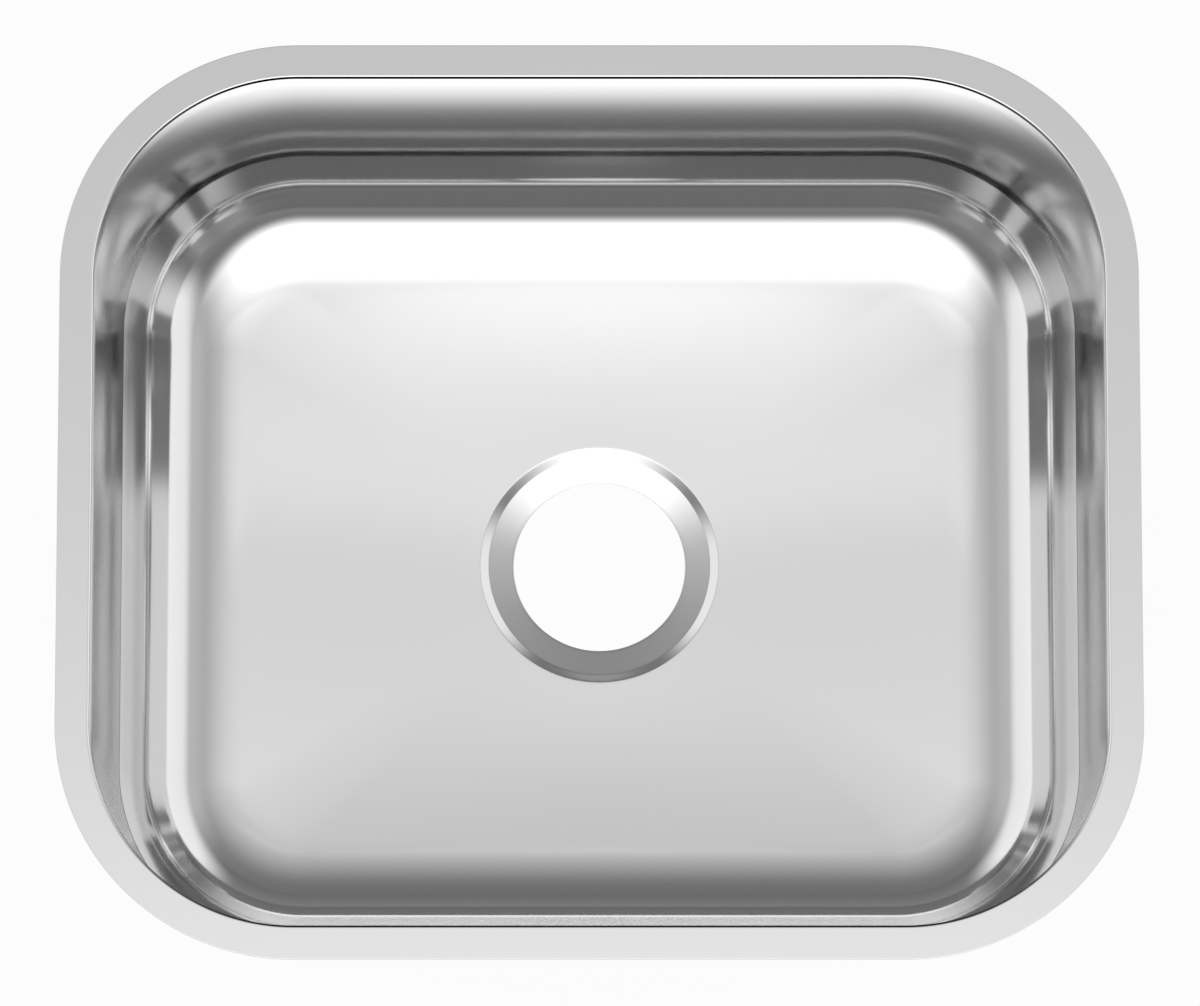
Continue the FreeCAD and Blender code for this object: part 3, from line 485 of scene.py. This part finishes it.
def screwGrids(size):
    # A slotted screw, head down, with the seat of its head at height 0. The two halves of the slotted end
    # are rows of circle arcs that stop at the slot; chords fill the end faces and the slot's floor. The
    # thread's radius is a triangle wave of height over pitch less angle over a full turn.
    head, shank, edge, length = size["head"], size["shank"], size["edge"], size["length"]
    half, slotTop = size["slot"] / 2, size["slotDepth"] - size["headHeight"]
    chordPoints, threadRows = 13, 206
    turn = np.linspace(0, np.pi / 2, 4)
    radii = np.concatenate([head - edge + edge * np.sin(turn), [head]])[:, None]
    levels = np.concatenate([edge - size["headHeight"] - edge * np.cos(turn), [slotTop]])[:, None]
    first = np.arcsin(half / radii)
    around = np.linspace(0, 1, 2 * chordPoints - 1)[None]
    angle = first + around * (np.pi - 2 * first)
    across = np.linspace(-1, 1, chordPoints)[None]
    lobe = np.stack([radii * np.cos(angle), radii * np.sin(angle), levels + 0 * angle], -1)
    endAngle = angle[0, :chordPoints, None]
    face = np.stack([across * radii[0] * np.cos(endAngle), radii[0] * np.sin(endAngle) + 0 * across,
                     levels[0] + 0 * endAngle * across], -1)
    slotWall = np.stack([across * radii * np.cos(first), half + 0 * radii * across,
                         levels + 0 * across], -1)
    offset = np.linspace(-half, half, 5)[:, None]
    slotFloor = np.stack([across * np.sqrt(head ** 2 - offset ** 2), offset + 0 * across,
                          slotTop + 0 * offset * across], -1)
    halfTurn = np.array([-1, -1, 1])
    slotted = [lobe, lobe * halfTurn, face, face * halfTurn, slotWall, slotWall * halfTurn, slotFloor]
    # the rest of the screw is one grid over height and angle
    ends = np.arcsin(offset[:, 0] / head)
    full = np.concatenate([ends, angle[-1, 1:-1], np.pi + ends, np.pi + angle[-1, 1:-1]])[None]
    thread = np.linspace(size["plain"], length - size["point"], threadRows)[:, None]
    wave = np.abs((thread / size["pitch"] - full / (2 * np.pi)) % 1.0 - 0.5) * 2
    grow = np.clip((thread - size["plain"]) / size["pitch"], 0, 1)
    core = shank - size["threadDepth"] * (1 - wave) * grow
    lower = np.array([(head, slotTop), (head, -size["chamfer"]), (head - size["chamfer"], 0.0),
                      (shank, 0.0), (shank, size["plain"] / 2)])
    upper = np.array([(shank - size["point"], length), (0.0, length)])
    radius = np.concatenate([lower[:, :1] + 0 * full, core, upper[:, :1] + 0 * full])
    height = np.concatenate([lower[:, 1:], thread, upper[:, 1:]])
    body = np.stack([radius * np.cos(full), radius * np.sin(full), height + 0 * full], -1)
    return [(points, False, False) for points in slotted] + [(body, False, True)]


clampSpread = 50.0  # from the middle of the side
clampPlaces = dict(left_front=("left", -clampSpread), left_rear=("left", clampSpread),
                   right_front=("right", clampSpread), right_rear=("right", -clampSpread))
for name, (side, along) in clampPlaces.items():
    seat = topHeight - screw["seatDepth"]
    grids = [(toSide(points, side, along, screw["offset"], seat), wrapRows, wrapColumns)
             for points, wrapRows, wrapColumns in screwGrids(screw)]
    node = name + "_screw"
    piece = meshPiece(name + "ClampScrew", grids, node, node, zincSteel)
print("clamp screws:", len(piece.data.polygons), "faces each")

# brackets, nuts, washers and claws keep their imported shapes
for part in frame["record"]["subparts"]:
    if part["material_slot"] == "clamp_steel":
        for place in frame["nodes"][part["node"]].material_slots:
            place.material = zincSteel


# stage: pale floor, and a studio tent that only light sees; sizes in metres

stage = dict(floorHalf=9.0, whiteShare=0.94)
floorMaterial, tree = newMaterial("paleFloor")
shader = addNode(tree, "BsdfDiffuse", {"Color": hexColor("#f4f4f4")})
glow = addNode(tree, "Emission", {"Color": hexColor("#ffffff"), "Strength": 1.0})
path = addNode(tree, "LightPath")
seen = addNode(tree, "Math", {0: path.outputs["Is Camera Ray"], 1: path.outputs["Is Glossy Ray"]},
               operation="MAXIMUM").outputs["Value"]
seen = addNode(tree, "Math", {0: seen, 1: path.outputs["Is Transmission Ray"]},
               operation="MAXIMUM").outputs["Value"]
# white to the eye and in the steel, and the share that is left keeps the shadow
white = addNode(tree, "Math", {0: seen, 1: stage["whiteShare"]}, operation="MULTIPLY").outputs["Value"]
mixed = addNode(tree, "MixShader", {0: white, 1: shader.outputs["BSDF"], 2: glow.outputs["Emission"]})
# seen from below, the floor is clear, so that the underside shows
below = addNode(tree, "NewGeometry").outputs["Backfacing"]
clear = addNode(tree, "BsdfTransparent")
mixed = addNode(tree, "MixShader", {0: below, 1: mixed.outputs["Shader"], 2: clear.outputs["BSDF"]})
addNode(tree, "OutputMaterial", {"Surface": mixed.outputs["Shader"]})
half = stage["floorHalf"]
floorMesh = bpy.data.meshes.new("floor")
floorMesh.from_pydata([(-half, -half, 0), (half, -half, 0), (half, half, 0), (-half, half, 0)], [],
                      [(0, 1, 2, 3)])
floorMesh.materials.append(floorMaterial)
floor = bpy.data.objects.new("floor", floorMesh)
bpy.context.scene.collection.objects.link(floor)

tent = dict(radius=8.0, zenith=0.12, horizon=0.38, rings=25, spokes=49)
# soft boxes in the tent's cloth: degrees off the zenith, bearing from the front, half angles where the light
# is full and where it has faded, and how much narrower it is from side to side
softBoxes = dict(
    overhead=dict(strength=1.20, offZenith=20.0, bearing=0.0, full=10.0, faded=36.0, narrower=1.0),
    fill=dict(strength=0.63, offZenith=7.0, bearing=0.0, full=20.0, faded=52.0, narrower=1.2),
    left=dict(strength=0.90, offZenith=68.0, bearing=-109.0, full=24.0, faded=43.0, narrower=1.0),
    right=dict(strength=0.90, offZenith=68.0, bearing=109.0, full=24.0, faded=43.0, narrower=1.0))
tentMaterial, tree = newMaterial("studioTent")
place = addNode(tree, "TexCoord").outputs["Object"]
way = addNode(tree, "VectorMath", {0: place}, operation="NORMALIZE").outputs["Vector"]
up = addNode(tree, "SeparateXYZ", {"Vector": way}).outputs["Z"]
total = addNode(tree, "MapRange", {"Value": up, "From Min": 0.0, "From Max": 1.0, "To Min": tent["horizon"],
                                   "To Max": tent["zenith"]}).outputs["Result"]
for box in softBoxes.values():
    offZenith, bearing = math.radians(box["offZenith"]), math.radians(box["bearing"])
    centre = (math.sin(offZenith) * math.sin(bearing), -math.sin(offZenith) * math.cos(bearing),
              math.cos(offZenith))
    wide = addNode(tree, "VectorMath", {0: place, 1: (box["narrower"], 1.0, 1.0)},
                   operation="MULTIPLY").outputs["Vector"]
    wide = addNode(tree, "VectorMath", {0: wide}, operation="NORMALIZE").outputs["Vector"]
    cosine = addNode(tree, "VectorMath", {0: wide, 1: centre}, operation="DOT_PRODUCT").outputs["Value"]
    apart = addNode(tree, "Math", {0: cosine}, operation="ARCCOSINE").outputs["Value"]
    light = addNode(tree, "MapRange", {"Value": apart, "From Min": math.radians(box["full"]),
                                       "From Max": math.radians(box["faded"]), "To Min": box["strength"],
                                       "To Max": 0.0}, interpolation_type="SMOOTHSTEP").outputs["Result"]
    total = addNode(tree, "Math", {0: total, 1: light}, operation="ADD").outputs["Value"]
glow = addNode(tree, "Emission", {"Color": hexColor("#ffffff"), "Strength": total})
addNode(tree, "OutputMaterial", {"Surface": glow.outputs["Emission"]})
# a half ball: radius times the direction at each height angle and bearing
rings, spokes = tent["rings"], tent["spokes"]
height, around = np.meshgrid(np.linspace(0.0, np.pi / 2, rings), np.linspace(0, 2 * np.pi, spokes),
                             indexing="ij")
domePoints = tent["radius"] * np.stack([np.cos(height) * np.cos(around), np.cos(height) * np.sin(around),
                                        np.sin(height)], -1)
index = np.arange(rings * spokes).reshape(rings, spokes)
cells = np.stack([index[:-1, :-1], index[1:, :-1], index[1:, 1:], index[:-1, 1:]], -1).reshape(-1, 4)
tentMesh = bpy.data.meshes.new("studioTent")
tentMesh.from_pydata(domePoints.reshape(-1, 3).tolist(), [], cells.tolist())
tentMesh.materials.append(tentMaterial)
tentObject = bpy.data.objects.new("studioTent", tentMesh)
tentObject.visible_camera = False
bpy.context.scene.collection.objects.link(tentObject)

# a small soft lamp over the rear edge, which the far half of the floor mirrors as a glow
rearLamp = dict(place=(0.0, 0.27, 1.0), across=0.30, deep=0.14, power=0.0024, spread=48.0)
lamp = bpy.data.lights.new("rearLamp", "AREA")
lamp.shape = "ELLIPSE"
lamp.size, lamp.size_y, lamp.energy = rearLamp["across"], rearLamp["deep"], rearLamp["power"]
lamp.spread = math.radians(rearLamp["spread"])  # a grid on the lamp keeps it off the near side
lampObject = bpy.data.objects.new("rearLamp", lamp)
lampObject.location = rearLamp["place"]
lampObject.visible_camera = False
bpy.context.scene.collection.objects.link(lampObject)

world = bpy.data.worlds.new("whiteRoom")
world.use_nodes = True
background = world.node_tree.nodes["Background"]
background.inputs["Color"].default_value = hexColor("#ffffff")
background.inputs["Strength"].default_value = 1.0
bpy.context.scene.world = world
print("stage ready")

# camera: 11.24 degrees off straight down, on the near side; places in metres
shot = dict(tilt=11.24, distance=3.70, target=(0.00027, -0.00203), lens=281.97, sensor=36.0, reach=50.0)
tilt = math.radians(shot["tilt"])
camera = bpy.data.cameras.new("camera")
camera.sensor_width, camera.lens, camera.clip_end = shot["sensor"], shot["lens"], shot["reach"]
cameraObject = bpy.data.objects.new("camera", camera)
cameraObject.location = (shot["target"][0], shot["target"][1] - shot["distance"] * math.sin(tilt),
                         topHeight * mm + shot["distance"] * math.cos(tilt))
cameraObject.rotation_euler = (tilt, 0.0, 0.0)
bpy.context.scene.collection.objects.link(cameraObject)
bpy.context.scene.camera = cameraObject
bpy.context.scene.view_settings.view_transform = "Standard"
